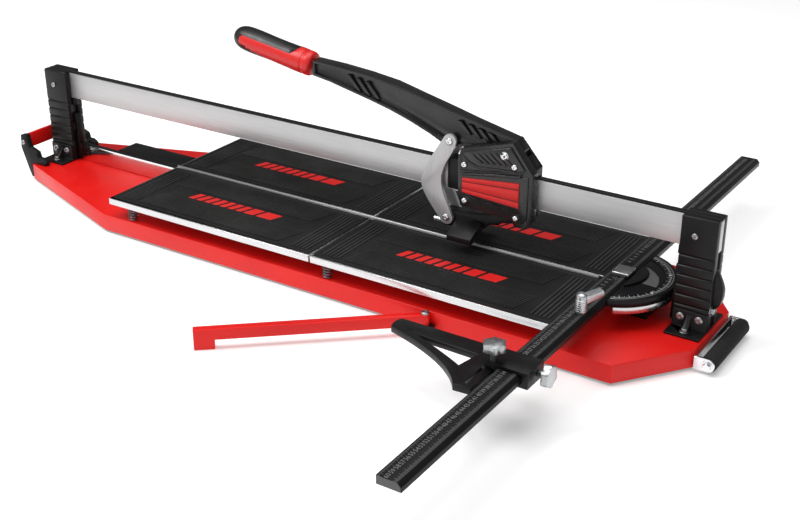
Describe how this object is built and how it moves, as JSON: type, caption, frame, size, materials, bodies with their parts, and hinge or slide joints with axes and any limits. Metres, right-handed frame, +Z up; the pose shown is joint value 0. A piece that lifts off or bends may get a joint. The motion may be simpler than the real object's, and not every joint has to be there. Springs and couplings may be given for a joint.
{
  "type": "tile cutter",
  "caption": "Manual rail tile cutter: sprung table plates on a folded pan, a guide rail on two posts, a sliding carriage with scoring wheel and breaking lever, and a swivelling measuring guide.",
  "frame": {"origin": "centre of the bounding box on the floor", "axes": "+X along the rail towards the measuring guide, -Y towards the user, +Z up"},
  "size_m": [1.338, 1.15, 0.3439],
  "materials": {
    "red_coat": "smooth red powder coat",
    "black_cast": "fine satin black paint on a casting",
    "black_plastic": "matte black moulded plastic",
    "rubber": "black rubber",
    "grip_rubber": "soft black grip with a red panel",
    "aluminium": "satin extruded",
    "steel": "bright zinc plate",
    "chrome": "polished"
  },
  "bodies": {
    "frame": {"base_pan": "red_coat", "rubber_foot_front_left": "rubber", "rubber_foot_front_right": "rubber", "rubber_foot_rear_left": "rubber", "rubber_foot_rear_right": "rubber", "centre_beam": "steel", "breaking_ridge": "chrome", "rear_ledge": "black_cast", "left_post_front_cheek": "black_cast", "left_post_rear_cheek": "black_cast", "left_post_web": "black_cast", "left_post_foot": "black_cast", "right_post_front_cheek": "black_cast", "right_post_rear_cheek": "black_cast", "right_post_web": "black_cast", "right_post_foot": "black_cast", "guide_rail": "aluminium", "rail_top_strip": "black_plastic", "left_handle_front_bracket": "black_plastic", "left_handle_rear_bracket": "black_plastic", "left_handle_strap": "red_coat", "right_handle_bracket": "chrome", "protractor_support": "black_cast", "arm_bracket": "black_cast", "front_left_spring": "steel", "front_right_spring": "steel", "rear_left_spring": "steel", "rear_right_spring": "steel"},
    "handle_roller": {"right_handle_roller": "rubber"},
    "front_left_table": {"front_left_plate": "aluminium", "front_left_pad": "rubber"},
    "front_right_table": {"front_right_plate": "aluminium", "front_right_pad": "rubber"},
    "rear_left_table": {"rear_left_plate": "aluminium", "rear_left_pad": "rubber"},
    "rear_right_table": {"rear_right_plate": "aluminium", "rear_right_pad": "rubber"},
    "guide": {"angle_ruler": "black_cast", "guide_hub": "aluminium", "protractor_disc": "black_cast"},
    "guide_clamp": {"clamp_lever": "steel"},
    "side_stop": {"side_stop_frame": "black_cast", "stop_clamp": "black_cast"},
    "top_knob": {"stop_top_knob": "chrome"},
    "side_knob": {"stop_side_knob": "chrome"},
    "extension_arm": {"support_arm": "red_coat"},
    "carriage": {"carriage_front_cover": "black_cast", "carriage_rear_cover": "black_cast", "carriage_body": "black_cast", "lever_pivot_bolt": "steel"},
    "roller_upper_left": {"upper_left_roller": "steel"},
    "roller_upper_right": {"upper_right_roller": "steel"},
    "roller_lower_left": {"lower_left_roller": "steel"},
    "roller_lower_right": {"lower_right_roller": "steel"},
    "lever_body": {"lever": "black_cast", "lever_grip": "grip_rubber"},
    "links": {"link_front": "steel", "link_rear": "steel"},
    "breaker": {"breaker_arm": "black_cast"},
    "cutting_wheel": {"scoring_wheel": "steel"}
  },
  "joints": [
    {"name": "carriage_slide", "type": "slide", "parent": "frame", "child": "carriage", "axis": [1, 0, 0], "range_m": [-0.75, 0.15]},
    {"name": "upper_left_roller_spin", "type": "hinge", "parent": "carriage", "child": "roller_upper_left", "pos_m": [0.259, 0.03, 0.2063], "axis": [0, 1, 0], "continuous": true},
    {"name": "upper_right_roller_spin", "type": "hinge", "parent": "carriage", "child": "roller_upper_right", "pos_m": [0.343, 0.03, 0.2063], "axis": [0, 1, 0], "continuous": true},
    {"name": "lower_left_roller_spin", "type": "hinge", "parent": "carriage", "child": "roller_lower_left", "pos_m": [0.259, 0.03, 0.1467], "axis": [0, 1, 0], "continuous": true},
    {"name": "lower_right_roller_spin", "type": "hinge", "parent": "carriage", "child": "roller_lower_right", "pos_m": [0.343, 0.03, 0.1467], "axis": [0, 1, 0], "continuous": true},
    {"name": "lever_swing", "type": "hinge", "parent": "carriage", "child": "lever_body", "pos_m": [0.315, 0.03, 0.234], "axis": [0, 1, 0], "range_deg": [-8.5, 10]},
    {"name": "breaker_swing", "type": "hinge", "parent": "carriage", "child": "breaker", "pos_m": [0.333, 0.03, 0.134], "axis": [0, 1, 0], "range_deg": [-7.5, 8.5]},
    {"name": "link_swing", "type": "hinge", "parent": "lever_body", "child": "links", "pos_m": [0.215, 0.03, 0.232], "axis": [0, 1, 0], "range_deg": [-10.5, 9.5]},
    {"name": "wheel_spin", "type": "hinge", "parent": "breaker", "child": "cutting_wheel", "pos_m": [0.209, 0.03, 0.097], "axis": [0, 1, 0], "continuous": true},
    {"name": "front_left_table_sink", "type": "slide", "parent": "frame", "child": "front_left_table", "axis": [0, 0, 1], "range_m": [-0.004, 0], "stiffness_N_per_m": 6000, "springref_m": 0.003, "deforming": ["front_left_spring"]},
    {"name": "front_right_table_sink", "type": "slide", "parent": "frame", "child": "front_right_table", "axis": [0, 0, 1], "range_m": [-0.004, 0], "stiffness_N_per_m": 6000, "springref_m": 0.003, "deforming": ["front_right_spring"]},
    {"name": "rear_left_table_sink", "type": "slide", "parent": "frame", "child": "rear_left_table", "axis": [0, 0, 1], "range_m": [-0.004, 0], "stiffness_N_per_m": 6000, "springref_m": 0.003, "deforming": ["rear_left_spring"]},
    {"name": "rear_right_table_sink", "type": "slide", "parent": "frame", "child": "rear_right_table", "axis": [0, 0, 1], "range_m": [-0.004, 0], "stiffness_N_per_m": 6000, "springref_m": 0.003, "deforming": ["rear_right_spring"]},
    {"name": "guide_swing", "type": "hinge", "parent": "frame", "child": "guide", "pos_m": [0.483, 0.03, 0.072], "axis": [0, 0, 1], "range_deg": [-45, 45]},
    {"name": "clamp_turn", "type": "hinge", "parent": "guide", "child": "guide_clamp", "pos_m": [0.499, -0.112, 0.084], "axis": [0, 0, 1], "range_deg": [-60, 60]},
    {"name": "stop_slide", "type": "slide", "parent": "guide", "child": "side_stop", "axis": [0, 1, 0], "range_m": [-0.18, 0.02]},
    {"name": "top_knob_turn", "type": "hinge", "parent": "side_stop", "child": "top_knob", "pos_m": [0.469, -0.297, 0.089], "axis": [0, 0, 1], "continuous": true},
    {"name": "side_knob_turn", "type": "hinge", "parent": "side_stop", "child": "side_knob", "pos_m": [0.521, -0.277, 0.078], "axis": [1, 0, 0], "continuous": true},
    {"name": "arm_swing", "type": "hinge", "parent": "frame", "child": "extension_arm", "pos_m": [0.274, -0.146, 0.02], "axis": [0, 0, 1], "range_deg": [-38, 50]},
    {"name": "handle_roller_spin", "type": "hinge", "parent": "frame", "child": "handle_roller", "pos_m": [0.657, 0.03, 0.015], "axis": [0, 1, 0], "continuous": true}
  ],
  "couplings": [
    {"joint": "breaker_swing", "follows": "lever_swing", "ratio": 0.82},
    {"joint": "link_swing", "follows": "lever_swing", "ratio": -1}
  ]
}
